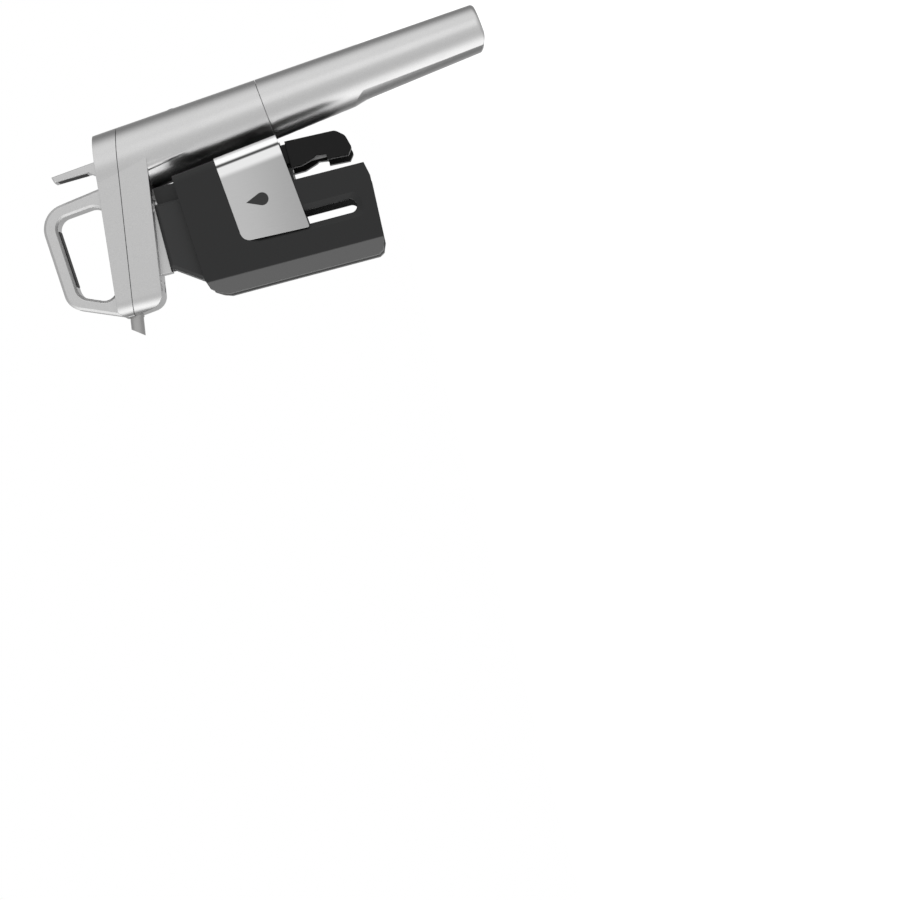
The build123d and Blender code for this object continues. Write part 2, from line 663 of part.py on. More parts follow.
with BuildPart() as capsule_cup:
    with BuildSketch(cup_plane.offset(-cup_length)):
        Circle(cone_r(-cup_length))
    with BuildSketch(cup_plane.offset(-skin_gap)):
        Circle(cone_r(-skin_gap))
    loft()
    fillet(capsule_cup.edges().group_by(Axis.Z)[0], cup_end_round)
    add(cup_side_form.part, mode=Mode.INTERSECT)
    add(belly_form.part, mode=Mode.INTERSECT)
    with BuildSketch(cup_plane.offset(-skin_gap)):
        Circle(thread_r)
    extrude(amount=thread_length + skin_gap)
    with BuildSketch(cup_plane.offset(bore_low)):
        Circle(cup_bore_r)
    extrude(amount=thread_length - bore_low + 1, mode=Mode.SUBTRACT)
save(capsule_cup.part, "capsule_cup")

with BuildPart(cup_plane) as cup_bumper:
    post(0, 0, (bore_low, capsule_low), capsule_r - 3)
save(cup_bumper.part, "cup_bumper")

# ------------------------------------------------------------------------------ guide rail of the body
rail_screw_low = rail_top_z - 12.0
with BuildPart() as guide_rail:
    block((rail_web_x, rail_front_x), (-rail_flange_half, rail_flange_half), (rail_bottom_z, rail_top_z))
    block((rail_back_x, rail_web_x), (-rail_web_half, rail_web_half), (rail_bottom_z, rail_top_z))
    for side in (-1, 1):
        post(rail_screw_x, side * rail_screw_y, (rail_screw_low, rail_top_z), rail_screw_r, mode=Mode.SUBTRACT)
save(guide_rail.part, "guide_rail")

rail_screw_seat = rail_top_z + 1.0
with BuildPart() as rail_screws:
    for side in (-1, 1):
        post(rail_screw_x, side * rail_screw_y, (rail_screw_low, rail_screw_seat), rail_screw_r)
        post(rail_screw_x, side * rail_screw_y, (rail_screw_seat, rail_screw_seat + 1.2), rail_screw_r + 0.7)
save(rail_screws.part, "rail_screws")

# ------------------------------------------------------------------------------ clamp base
liner_back_x = rail_front_x + 0.1
channel_front_x = liner_back_x + liner_t
channel_wall = 2.1
frame_top_z = head_top_z - 0.9
head_screw_x, head_screw_y, head_screw_r = pin_x + 1.5, 4.0, 1.25
head_screw_low = -9.0
head_screw_seat = head_top_z - 3.7
head_screw_head_r, head_screw_head_h = 2.3, 2.4
pin_top_z = head_bottom_z + 8.0
with BuildPart() as clamp_frame:
    block((rail_back_x, channel_front_x + channel_wall), (-frame_half, frame_half), (frame_bottom_z, frame_top_z))
    block((channel_front_x + 2, spine_front_x), (-frame_half, frame_half), (frame_bottom_z, head_bottom_z))
    block((pin_x - 3.5, spine_front_x), (-pin_y - barrel_r, pin_y + barrel_r), (frame_bottom_z, frame_bottom_z + lug_h))
    block((rail_web_x - free_gap, channel_front_x), (-rail_flange_half - free_gap, rail_flange_half + free_gap),
          (frame_bottom_z - 1, frame_top_z + 1), mode=Mode.SUBTRACT)
    block((rail_back_x - 1, rail_web_x), (-rail_web_half - free_gap, rail_web_half + free_gap),
          (frame_bottom_z - 1, frame_top_z + 1), mode=Mode.SUBTRACT)
    for side in (-1, 1):
        post(pin_x, side * pin_y, (frame_bottom_z, 0), pin_r, mode=Mode.SUBTRACT)
        post(head_screw_x, side * head_screw_y, (head_screw_low - 1, 5), head_screw_r, mode=Mode.SUBTRACT)
save(clamp_frame.part, "clamp_frame")

guide_r = 4.0
guide_low_z = head_bottom_z + 4.5
wiper_low_z = head_bottom_z + 0.6
head_nose_x, head_nose_z = neck_r - 3.4, 9.1
head_flat_x = neck_r - 12.3
with BuildPart() as clamp_head:
    with BuildSketch(Plane.XZ):
        with BuildLine():
            Polyline((channel_front_x + channel_wall, head_bottom_z), (channel_front_x + channel_wall, head_top_z),
                     (head_flat_x, head_top_z), (head_nose_x, head_nose_z), (head_nose_x, head_bottom_z), close=True)
        make_face()
    extrude(amount=head_half, both=True)
    edges = clamp_head.edges().filter_by(lambda e: abs(e.center().Y) > head_half - 0.1 and e.center().Z > 8)
    chamfer(edges, 1.5)
    post(0, 0, (0, far), guide_r, mode=Mode.SUBTRACT)
    for side in (-1, 1):
        post(pin_x, side * pin_y, (0, pin_top_z), pin_r, mode=Mode.SUBTRACT)
        post(head_screw_x, side * head_screw_y, (0, far), head_screw_r, mode=Mode.SUBTRACT)
        post(head_screw_x, side * head_screw_y, (head_screw_seat, far), head_screw_head_r + 0.1, mode=Mode.SUBTRACT)
save(clamp_head.part, "clamp_head")

with BuildPart() as head_screws:
    for side in (-1, 1):
        post(head_screw_x, side * head_screw_y, (head_screw_low, head_screw_seat), head_screw_r)
        post(head_screw_x, side * head_screw_y, (head_screw_seat, head_screw_seat + head_screw_head_h),
             head_screw_head_r)
save(head_screws.part, "head_screws")

with BuildPart() as guide_liner:
    block((liner_back_x, channel_front_x), (-rail_flange_half, rail_flange_half), (frame_bottom_z, frame_top_z))
save(guide_liner.part, "guide_liner")

with BuildPart() as needle_guide:
    post(0, 0, (guide_low_z, head_top_z), guide_r)
    post(0, 0, (0, far), needle_r + running_gap, mode=Mode.SUBTRACT)
save(needle_guide.part, "needle_guide")

with BuildPart() as guide_wiper:
    post(0, 0, (wiper_low_z, guide_low_z), guide_r)
    post(0, 0, (0, far), needle_r + running_gap, mode=Mode.SUBTRACT)
save(guide_wiper.part, "guide_wiper")

with BuildPart() as lip_gasket:
    post(0, 0, (head_bottom_z - gasket_t, head_bottom_z), neck_r - 1.5)
    post(0, 0, (-far, far), guide_r - 0.5, mode=Mode.SUBTRACT)
save(lip_gasket.part, "lip_gasket")

with BuildPart() as jaw_pins:
    for side in (-1, 1):
        post(pin_x, side * pin_y, (frame_bottom_z, pin_top_z), pin_r)
save(jaw_pins.part, "jaw_pins")

barrel_spans = ((-39.7, -28.0), (-12.0, -0.6))
spring_z = (barrel_spans[0][1] + 2, barrel_spans[1][0] - 2)
with BuildPart() as jaw_springs:
    for side in (-1, 1):
        add(coil(Plane.XY * Pos(pin_x, side * pin_y, 0), spring_z, pin_r + 0.95, 0.4, 5))
save(jaw_springs.part, "jaw_springs")

# ------------------------------------------------------------------------------ clamp jaws
jaw_outline = [(pin_x - 13.6, 10.4), (jaw_front_x - 8.6, 7.7), (jaw_front_x - 3.8, 6.2), (jaw_front_x - 1.4, 2.4),
               (jaw_front_x, -1.5), (jaw_front_x, -73.2), (jaw_front_x - 1.4, -75.5), (jaw_front_x - 6.0, -77.2),
               (pin_x + 9.5, -78.4), (pin_x + 3.0, -77.0), (pin_x + 2.7, -42.8), (pin_x - 19.3, -40.6)]


def jaw_form(grow):
    """The left jaw's solid outer form, grown outwards by the given amount."""
    with BuildPart() as form:
        with BuildSketch(Plane.XZ):
            with BuildLine():
                Polyline(*jaw_outline, close=True)
            make_face()
            if grow:
                offset(amount=grow, kind=Kind.INTERSECTION)
        extrude(amount=-jaw_half - grow)
        with BuildSketch(Plane.XY.offset(-far)):
            with BuildLine():
                Polyline((-far, -1), (-far, jaw_half), (jaw_bevel_x, jaw_half), (jaw_front_x, jaw_bevel_y),
                         (jaw_front_x, -1), close=True)
            make_face()
            if grow:
                offset(amount=grow, kind=Kind.INTERSECTION)
        extrude(amount=2 * far, mode=Mode.INTERSECT)
        rear = form.edges().filter_by(lambda e: e.center().X < pin_x - 12 and e.center().Y > jaw_half - 0.01
                                      and e.length > 30)
        fillet(rear.sort_by(Axis.X)[0], jaw_rear_round)
    return form.part


badge_outline = [(pin_x - 28, -9.3), (0.4, -14.0), (1.6, -45.4), (pin_x - 28, -39.95)]
with BuildPart() as badge_prism:
    with BuildSketch(Plane.XZ):
        with BuildLine():
            FilletPolyline(*badge_outline, radius=[0.5, 4.5, 0.8, 0.5], close=True)
        make_face()
    extrude(amount=-far)

with BuildPart() as jaw_hollow:
    with BuildSketch(Plane.XY.offset(-far)):
        with BuildLine():
            Polyline((-far, -5), (-far, jaw_inner_y), (jaw_bevel_x - 1.6, jaw_inner_y),
                     (jaw_front_x - jaw_front_wall, jaw_bevel_y - 1.4), (jaw_front_x - jaw_front_wall, -5),
                     close=True)
        make_face()
    extrude(amount=2 * far)
    block((0, far), (-5, jaw_gap_half), (-far, far))

pad_top = -1.0
pad_x = (-8.0, 14.0)         # the ribs that carry the pad
pad_in = 8.0
with BuildPart() as left_jaw_shell:
    add(jaw_form(0))
    add(jaw_hollow.part, mode=Mode.SUBTRACT)
    block(pad_x, (pad_in, jaw_inner_y + 0.5), (pad_top - pad_h, pad_top))
    post(0, 0, (-30, 5), neck_r + pad_t, mode=Mode.SUBTRACT)
    # hinge barrels on the pin, above and below the spring
    for low, high in barrel_spans:
        block((pin_x - 3, pin_x + 3), (pin_y, jaw_inner_y + 0.5), (low, high))
        post(pin_x, pin_y, (low, high), barrel_r)
        post(pin_x, pin_y, (low - 0.1, high + 0.1), pin_r + running_gap, mode=Mode.SUBTRACT)
    # window with its bevelled surround
    slot_mid, slot_long = (slot_top_z + slot_end_z) / 2, slot_top_z - slot_end_z
    with BuildSketch(Plane.XZ.offset(-jaw_half)):
        with Locations((slot_x, slot_mid)):
            RectangleRounded(2 * (slot_half + slot_bevel), slot_long + 2 * slot_bevel, slot_half + 0.6)
    with BuildSketch(Plane.XZ.offset(-jaw_half + slot_bevel_depth)):
        with Locations((slot_x, slot_mid)):
            RectangleRounded(2 * slot_half, slot_long, slot_half - 0.05)
    loft(mode=Mode.SUBTRACT)
    with BuildSketch(Plane.XZ.offset(-jaw_half + slot_bevel_depth)):
        with Locations((slot_x, slot_mid)):
            RectangleRounded(2 * slot_half, slot_long, slot_half - 0.05)
    extrude(amount=2 * jaw_wall, mode=Mode.SUBTRACT)

with BuildPart() as left_grip_pad:
    post(0, 0, (pad_top - pad_h, pad_top), neck_r + pad_t)
    post(0, 0, (-30, 5), neck_r, mode=Mode.SUBTRACT)
    block((pad_x[0] + 0.5, pad_x[1] - 0.5), (pad_in + 0.5, far), (-30, 5), mode=Mode.INTERSECT)

with BuildPart() as left_badge:
    add(jaw_form(badge_t))
    add(jaw_form(0), mode=Mode.SUBTRACT)
    add(badge_prism.part, mode=Mode.INTERSECT)
    block((-far, far), (jaw_inner_y + 0.3, far), (-far, far), mode=Mode.INTERSECT)

lever_outline = [(pin_x + x, z) for x, z in (
    (-15.7, -44.0), (-14.8, -67.9), (-11.4, -71.9), (-5.3, -73.5), (-2.2, -71.1), (-2.8, -61.2),
    (-5.0, -61.4), (-5.7, -56.7), (-5.0, -55.6), (-3.1, -49.5), (-3.0, -44.0))]
lever_rounds = [0, 4.0, 4.0, 2.0, 0, 0, 0.8, 0.8, 0, 0, 0]
tang_x = (pin_x - 14.5, pin_x - 5.5)
tang_top = -33.0
tang_mid_x = sum(tang_x) / 2
lever_screw_z = (-35.5, -38.8)
lever_screw_r, lever_screw_head_r, lever_screw_head_h = 0.9, 1.7, 1.0


def cross_post(x, y, z, radius, mode=Mode.ADD):
    """A round post along Y of the part being built, between two Y, at an X and a height."""
    with Locations(Location((x, (y[0] + y[1]) / 2, z), (90, 0, 0))):
        Cylinder(radius, y[1] - y[0], mode=mode)


with BuildPart() as left_lever:
    with BuildSketch(Plane.XZ.offset(-lever_in)):
        with BuildLine():
            FilletPolyline(*lever_outline, radius=lever_rounds, close=True)
        make_face()
    extrude(amount=lever_in - lever_out)
    chamfer(left_lever.faces().filter_by(Axis.Y).edges(), 0.25)
    block(tang_x, (lever_in, jaw_inner_y), (-50, tang_top))
    for z in lever_screw_z:
        cross_post(tang_mid_x, (lever_in, lever_out), z, lever_screw_r, mode=Mode.SUBTRACT)

with BuildPart() as left_lever_screws:
    for z in lever_screw_z:
        cross_post(tang_mid_x, (lever_in, jaw_inner_y + 2), z, lever_screw_r)
        cross_post(tang_mid_x, (lever_in - lever_screw_head_h, lever_in), z, lever_screw_head_r)

with BuildPart() as left_jaw_drilled:
    add(left_jaw_shell.part)
    for z in lever_screw_z:
        cross_post(tang_mid_x, (jaw_inner_y, jaw_inner_y + 2), z, lever_screw_r, mode=Mode.SUBTRACT)

for name, piece in (("jaw_shell", left_jaw_drilled.part), ("grip_pad", left_grip_pad.part),
                    ("badge", left_badge.part), ("lever", left_lever.part),
                    ("lever_screws", left_lever_screws.part)):
    save(piece, f"left_{name}")
    save(mirror(piece, about=Plane.XZ), f"right_{name}")
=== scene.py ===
"""Looks for the needle wine pourer: finishes, surfaces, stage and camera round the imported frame."""

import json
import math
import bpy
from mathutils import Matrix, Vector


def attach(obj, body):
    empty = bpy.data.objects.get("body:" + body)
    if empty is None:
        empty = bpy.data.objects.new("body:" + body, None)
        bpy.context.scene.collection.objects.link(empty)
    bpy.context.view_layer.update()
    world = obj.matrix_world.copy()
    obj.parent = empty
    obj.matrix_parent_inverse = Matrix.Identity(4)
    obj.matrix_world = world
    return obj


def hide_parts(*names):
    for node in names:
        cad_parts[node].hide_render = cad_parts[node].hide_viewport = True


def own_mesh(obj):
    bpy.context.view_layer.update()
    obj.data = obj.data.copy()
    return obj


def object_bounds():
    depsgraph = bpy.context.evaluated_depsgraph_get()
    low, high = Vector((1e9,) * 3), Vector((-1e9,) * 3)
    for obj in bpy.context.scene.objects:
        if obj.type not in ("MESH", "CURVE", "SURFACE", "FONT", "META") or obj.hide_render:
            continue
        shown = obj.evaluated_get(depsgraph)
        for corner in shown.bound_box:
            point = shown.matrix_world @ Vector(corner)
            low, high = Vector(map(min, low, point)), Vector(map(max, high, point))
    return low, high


bl_info = {
    "name": "Needle Wine Pourer",
    "version": (1, 0, 0),
    "blender": (4, 5, 0),
    "location": "3D View > Sidebar > Pourer",
    "description": "Gives the needle wine pourer its surfaces, finishes, lights and camera",
    "category": "Object",
}

import bpy
import numpy as np
from mathutils import Matrix, Vector

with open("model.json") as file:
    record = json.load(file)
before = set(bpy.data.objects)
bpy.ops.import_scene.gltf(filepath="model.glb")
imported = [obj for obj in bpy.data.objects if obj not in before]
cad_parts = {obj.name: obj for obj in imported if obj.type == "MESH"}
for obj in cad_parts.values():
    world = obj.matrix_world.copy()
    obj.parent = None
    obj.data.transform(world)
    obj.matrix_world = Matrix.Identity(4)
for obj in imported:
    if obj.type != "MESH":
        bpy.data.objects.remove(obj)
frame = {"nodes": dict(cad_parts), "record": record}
CAD_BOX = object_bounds()

MM = 0.001


# ------------------------------------------------------------------ shader arithmetic
class Wire:
    """A shader socket that can be used in an expression: each operator adds the Math node that it means."""

    def __init__(self, finish, socket):
        self.finish = finish
        self.socket = socket

    def _math(self, operation, first, second):
        return self.finish.node("ShaderNodeMath", {"operation": operation}, [first, second])["Value"]

    def __add__(self, other):
        return self._math("ADD", self, other)

    __radd__ = __add__

    def __sub__(self, other):
        return self._math("SUBTRACT", self, other)

    def __rsub__(self, other):
        return self._math("SUBTRACT", other, self)

    def __mul__(self, other):
        return self._math("MULTIPLY", self, other)

    __rmul__ = __mul__

    def power(self, other):
        return self._math("POWER", self, other)

    def size(self):
        """The value without its sign."""
        return self._math("ABSOLUTE", self, 0.0)

    def above(self, other):
        return self._math("MAXIMUM", self, other)

    def below(self, other):
        return self._math("MINIMUM", self, other)


class Outputs:
    """The outputs of a node, each wrapped as a Wire."""

    def __init__(self, finish, node):
        self.finish = finish
        self.node = node

    def __getitem__(self, name):
        return Wire(self.finish, self.node.outputs[name])


class Finish:
    """A material that is being made, round one Principled shader."""

    def __init__(self, name, **constants):
        self.material = bpy.data.materials.new(name)
        self.material.use_nodes = True
        self.tree = self.material.node_tree
        self.shader = self.tree.nodes["Principled BSDF"]
        for socket, value in constants.items():
            self.shader.inputs[socket.replace("_", " ")].default_value = value
        self.material.diffuse_color = (*constants.get("Base_Color", (0.5, 0.5, 0.5, 1))[:3], 1)

    def node(self, kind, settings=None, inputs=()):
        """Adds a node: its settings first, then the values or wires of its inputs, by index or by name."""
        made = self.tree.nodes.new(kind)
        for key, value in (settings or {}).items():
            setattr(made, key, value)
        pairs = inputs.items() if isinstance(inputs, dict) else enumerate(inputs)
        for key, value in pairs:
            if isinstance(value, Wire):
                self.tree.links.new(value.socket, made.inputs[key])
            else:
                made.inputs[key].default_value = value
        return Outputs(self, made)

    def place(self, scale=(1, 1, 1)):
        """Object coordinates in metres, scaled for a pattern."""
        points = self.node("ShaderNodeTexCoord")["Object"]
        inputs = {"Vector": points, "Scale": tuple(1 / factor for factor in scale)}
        return self.node("ShaderNodeMapping", {"vector_type": "TEXTURE"}, inputs)["Vector"]

    def noise(self, where, scale, detail=3.0, roughness=0.5):
        """Smooth noise between about 0.3 and 0.7."""
        return self.node("ShaderNodeTexNoise", inputs={"Vector": where, "Scale": scale, "Detail": detail,
                                                       "Roughness": roughness})["Fac"]

    def blend(self, amount, first, second):
        """A colour between two colours."""
        made = self.node("ShaderNodeMix", {"data_type": "RGBA"}, {0: amount, 6: first, 7: second})
        return Wire(self, made.node.outputs[2])

    def feed(self, socket, wire):
        """Links a wire to one of the shader's own sockets."""
        self.tree.links.new(wire.socket, self.shader.inputs[socket])

    def bump(self, height, strength, distance, edge=0.0):
        """Raises the surface by a height pattern and rounds its edges by a radius, both in metres."""
        inputs = {"Strength": strength, "Distance": distance, "Height": height}
        if edge:
            inputs["Normal"] = self.node("ShaderNodeBevel", {"samples": 6}, {"Radius": edge})["Normal"]
        self.feed("Normal", self.node("ShaderNodeBump", inputs=inputs)["Normal"])

    def axes(self):
        """The object coordinates in millimetres, as three wires."""
        points = self.node("ShaderNodeSeparateXYZ", inputs=[self.place(scale=(1 / MM,) * 3)])
        return points["X"], points["Y"], points["Z"]

    def ramp(self, wire, low, high):
        """0 below the first value, 1 above the second, smooth between them."""
        settings = {"interpolation_type": "SMOOTHSTEP", "clamp": True}
        return self.node("ShaderNodeMapRange", settings, [wire, low, high, 0.0, 1.0])["Result"]


def grey(value, warm=0.0):
    """A grey with a slight warm or cool cast, as a colour with full alpha."""
    return (value + warm, value, value - warm, 1.0)


# ------------------------------------------------------------------ settings
class PourerFinishes(bpy.types.PropertyGroup):
    """Colours and roughness of the pourer's materials."""

    silver: bpy.props.FloatVectorProperty(
        name="Satin silver", description="Colour of the body, cover, cup and trigger",
        size=4, subtype="COLOR", min=0, max=1, default=grey(0.60, 0.002))
    silver_roughness: bpy.props.FloatProperty(
        name="Silver roughness", description="How far the satin metal spreads a reflection",
        subtype="FACTOR", min=0, max=1, default=0.31)
    plate: bpy.props.FloatVectorProperty(
        name="Badge plate", description="Colour of the brushed plate on each jaw",
        size=4, subtype="COLOR", min=0, max=1, default=grey(0.52, 0.002))
    charcoal: bpy.props.FloatVectorProperty(
        name="Charcoal", description="Colour of the clamp's jaws",
        size=4, subtype="COLOR", min=0, max=1, default=grey(0.019, -0.0003))
    head_charcoal: bpy.props.FloatVectorProperty(
        name="Head charcoal", description="Colour of the clamp's head and frame",
        size=4, subtype="COLOR", min=0, max=1, default=grey(0.026, -0.0004))
    lever_black: bpy.props.FloatVectorProperty(
        name="Lever black", description="Colour of the release levers",
        size=4, subtype="COLOR", min=0, max=1, default=grey(0.004))
    print_black: bpy.props.FloatVectorProperty(
        name="Print", description="Colour of the drop printed on each badge",
        size=4, subtype="COLOR", min=0, max=1, default=grey(0.015))
    rubber: bpy.props.FloatVectorProperty(
        name="Rubber", description="Colour of pads, gasket and inserts",
        size=4, subtype="COLOR", min=0, max=1, default=grey(0.010))
    rail: bpy.props.FloatVectorProperty(
        name="Rail", description="Colour of the guide rail and its screws",
        size=4, subtype="COLOR", min=0, max=1, default=grey(0.20))
    guide: bpy.props.FloatVectorProperty(
        name="Guide", description="Colour of the plastic that guides the needle and lines the slide",
        size=4, subtype="COLOR", min=0, max=1, default=grey(0.06))
    flow: bpy.props.FloatVectorProperty(
        name="Flow parts", description="Colour of the plastic that gas and wine pass through",
        size=4, subtype="COLOR", min=0, max=1, default=grey(0.16))
    steel: bpy.props.FloatVectorProperty(
        name="Steel", description="Colour of the needle, pins and screws",
        size=4, subtype="COLOR", min=0, max=1, default=grey(0.42, 0.003))
    brass: bpy.props.FloatVectorProperty(
        name="Brass", description="Colour of the regulator and valve",
        size=4, subtype="COLOR", min=0, max=1, default=(0.60, 0.42, 0.18, 1))


class PourerStage(bpy.types.PropertyGroup):
    """Camera, floor and light."""

    distance: bpy.props.FloatProperty(
        name="Camera distance", description="From the object's middle plane to the camera",
        subtype="DISTANCE", unit="LENGTH", min=0.3, default=1.55)
    lens: bpy.props.FloatProperty(
        name="Lens", description="Focal length on a 36 mm sensor", min=20, max=300, default=132.7)
    floor_drop: bpy.props.FloatProperty(
        name="Floor drop", description="From the object's lowest point down to the floor",
        subtype="DISTANCE", unit="LENGTH", min=0, default=0.02)
    key_power: bpy.props.FloatProperty(
        name="Key light", description="Power of the weak light beside the camera",
        subtype="POWER", min=0, default=0.3)


# ------------------------------------------------------------------ finishes
EDGE_ROUND = 0.4 * MM
FINE = 0.02 * MM            # the height of the grain on metal

# on the badge, in millimetres along X and Z
DROP_CENTRE = (-16.5, -27.5)
DROP_RADIUS = 3.0
DROP_HEIGHT = 7.6
DROP_SOFT = 0.10
BADGE_LEAN = 5.7 / 51.0     # how far the rear edge moves along X for each millimetre of Z
BADGE_REAR = -38.76         # where that edge would meet Z = 0
BADGE_PAINTED_SHADE = (-50.0, -12.0)    # painted shade: the Z between which the plate turns from its darker tone to its lighter tone
BEND_HIGHLIGHT_FADE = (7.8, 10.6)      # ahead of the rear edge, as the next two are: where the painted highlight on the bend fades out
# where the painted shade of the groove along the bend fades in and out again
GROOVE_SHADE_REAR = (3.0, 3.9)
GROOVE_SHADE_FRONT = (4.3, 5.2)

# the jaws' front bevel gets a painted highlight: its charcoal is painted lighter ahead of this line
JAW_BEVEL_X = 14.4          # where the bevel at the jaws' front begins
BEVEL_PAINTED_HIGHLIGHT = 0.085          # how much lighter the bevel is painted: a painted highlight
BEVEL_SOFT = 0.4


def satin_silver(look):
    """Bead-blasted metal: a fine grain in colour, roughness and height, and faint clouds in the roughness."""
    finish = Finish("satin_silver", Base_Color=look.silver, Metallic=1.0, Roughness=look.silver_roughness)
    where = finish.place()
    clouds = finish.noise(where, scale=60.0)
    grain = finish.noise(where, scale=2600.0, roughness=0.7)
    finish.feed("Roughness", clouds * 0.10 + grain * 0.10 + (look.silver_roughness - 0.10))
    tone = finish.blend(grain, grey(look.silver[0] * 0.80, 0.001), grey(look.silver[0] * 1.20, 0.001))
    finish.feed("Base Color", tone)
    finish.bump(grain, 0.10, FINE, EDGE_ROUND)
    return finish.material


def drop_shape(finish):
    """1 inside a plain drop with its tip up, in the XZ plane, and 0 outside it.

    The drop is a circle of radius r and the two straight sides that run from the tip, at height h over the
    circle's centre, to touch it. With sin a = r / h, the sides are |u| = (h - w) tan a, above w = r sin a.
    """
    across, _, height = finish.axes()
    u, w = across - DROP_CENTRE[0], height - DROP_CENTRE[1]
    lean = math.asin(DROP_RADIUS / DROP_HEIGHT)
    circle = finish.ramp(DROP_RADIUS - (u * u + w * w).power(0.5), -DROP_SOFT, DROP_SOFT)
    sides = finish.ramp((DROP_HEIGHT - w) * math.tan(lean) - u.size(), -DROP_SOFT, DROP_SOFT)
    upper = finish.ramp(w - DROP_RADIUS * math.sin(lean), -DROP_SOFT, DROP_SOFT)
    return circle.above(sides.below(upper))


def brushed_plate(look):
    """Brushed stainless plate: long fine streaks along the plate's length, and a drop printed in black.

    The bend at the rear has a painted highlight, with painted shade in a dark groove along it; lower Z is
    painted darker.
    """
    finish = Finish("badge_plate", Base_Color=look.plate, Metallic=1.0, Roughness=0.34)
    where = finish.place(scale=(40.0, 40.0, 1.0))
    streaks = finish.noise(where, scale=160.0, detail=4.0, roughness=0.65)
    drop = drop_shape(finish)
    across, _, height = finish.axes()
    # painted light and shade: a lighter and a darker copy of the plate's tone, blended by height
    lit_plate_tone = finish.blend(streaks, grey(look.plate[0] * 1.00), grey(look.plate[0] * 1.20))
    shaded_plate_tone = finish.blend(streaks, grey(look.plate[0] * 0.74), grey(look.plate[0] * 0.90))
    metal = finish.blend(finish.ramp(height, *BADGE_PAINTED_SHADE), shaded_plate_tone, lit_plate_tone)
    ahead = across - height * BADGE_LEAN - BADGE_REAR
    # painted highlight: a near-white band on the bend at the rear
    bend_highlight = 1.0 - finish.ramp(ahead, *BEND_HIGHLIGHT_FADE)
    metal = finish.blend(bend_highlight, metal, grey(0.93))
    # painted shade: a dark band along the groove beside the bend
    groove_shade = finish.ramp(ahead, *GROOVE_SHADE_REAR).below(1.0 - finish.ramp(ahead, *GROOVE_SHADE_FRONT))
    metal = finish.blend(groove_shade, metal, grey(look.plate[0] * 0.18))
    finish.feed("Base Color", finish.blend(drop, metal, look.print_black))
    finish.feed("Metallic", 1.0 - drop)
    finish.feed("Roughness", streaks * 0.16 + 0.24 + drop * 0.15)
    finish.bump(streaks, 0.12, FINE, EDGE_ROUND)
    return finish.material


def moulded(name, colour, roughness, grain_scale=3200.0, grain_height=0.03 * MM, gloss=0.5, bevel_highlight=0.0):
    """Moulded plastic: a fine spark-eroded grain with a little unevenness in the gloss.

    The last argument is how much lighter the colour is painted ahead of the line where the jaws' bevel
    begins: a painted highlight.
    """
    finish = Finish(name, Base_Color=colour, Roughness=roughness, Specular_IOR_Level=gloss)
    where = finish.place()
    grain = finish.noise(where, grain_scale, detail=2.0)
    clouds = finish.noise(where, scale=45.0)
    finish.feed("Roughness", clouds * 0.12 + grain * 0.06 + (roughness - 0.09))
    value, warm = colour[0], colour[0] - colour[1]
    tone = finish.blend(grain, grey(value * 0.88, warm), grey(value * 1.12, warm))
    # painted highlight: the charcoal is painted lighter ahead of the bevel line
    if bevel_highlight:
        across, _, _ = finish.axes()
        ahead = finish.ramp(across, JAW_BEVEL_X - BEVEL_SOFT, JAW_BEVEL_X + BEVEL_SOFT)
        tone = finish.blend(ahead, tone, grey(value + bevel_highlight))
    finish.feed("Base Color", tone)
    finish.bump(grain, 0.25, grain_height, EDGE_ROUND)
    return finish.material


def drawn_steel(name, colour, roughness):
    """Drawn or ground steel with fine marks along Z."""
    finish = Finish(name, Base_Color=colour, Metallic=1.0, Roughness=roughness)
    marks = finish.noise(finish.place(scale=(12.0, 12.0, 1.0)), scale=420.0)
    finish.feed("Roughness", marks * 0.14 + (roughness - 0.07))
    finish.bump(marks, 0.08, FINE)
    return finish.material


def turned_brass(look):
    """Turned brass with faint tool rings."""
    finish = Finish("valve_brass", Base_Color=look.brass, Metallic=1.0, Roughness=0.28)
    rings = finish.noise(finish.place(scale=(1.0, 1.0, 14.0)), scale=380.0, detail=2.0)
    finish.feed("Roughness", rings * 0.12 + 0.20)
    finish.bump(rings, 0.08, FINE)
    return finish.material


FINISH_MAKERS = {
    "satin_silver": satin_silver,
    "badge_plate": brushed_plate,
    # the jaws' shells carry the painted highlight on their front bevel
    "charcoal_shell": lambda look: moulded("charcoal_shell", look.charcoal, 0.40, gloss=0.27,
                                           bevel_highlight=BEVEL_PAINTED_HIGHLIGHT),
    "charcoal_head": lambda look: moulded("charcoal_head", look.head_charcoal, 0.40, gloss=0.34),
    "black_lever": lambda look: moulded("black_lever", look.lever_black, 0.32, gloss=0.20),
    "dark_rubber": lambda look: moulded("dark_rubber", look.rubber, 0.62, 1500.0, 0.05 * MM),
    "steel_parts": lambda look: drawn_steel("steel_parts", look.steel, 0.24),
    "rail_steel": lambda look: drawn_steel("rail_steel", look.rail, 0.36),
    "guide_plastic": lambda look: moulded("guide_plastic", look.guide, 0.38),
    "valve_brass": turned_brass,
    "flow_plastic": lambda look: moulded("flow_plastic", look.flow, 0.40),
}


MADE_FINISHES = {}


def finish_for(slot):
    """The material of a slot, made the first time it is asked for."""
    if slot not in MADE_FINISHES:
        MADE_FINISHES[slot] = FINISH_MAKERS[slot](bpy.context.scene.pourer_finishes)
    return MADE_FINISHES[slot]


def slot_of(node):
    """The record's material slot of a frame node."""
    for entry in frame["record"]["subparts"]:
        if entry["node"] == node:
            return entry["material_slot"]
    raise ValueError(f"no slot for {node}")


def dress(nodes):
    """Gives frame nodes the finish of their own slot."""
    for node in nodes:
        mesh_object = frame["nodes"][node]
        for material_slot in mesh_object.material_slots:
            material_slot.material = finish_for(slot_of(node))


BODY_SHELLS = ("main_body", "top_cover", "loop_insert", "vent_plug")


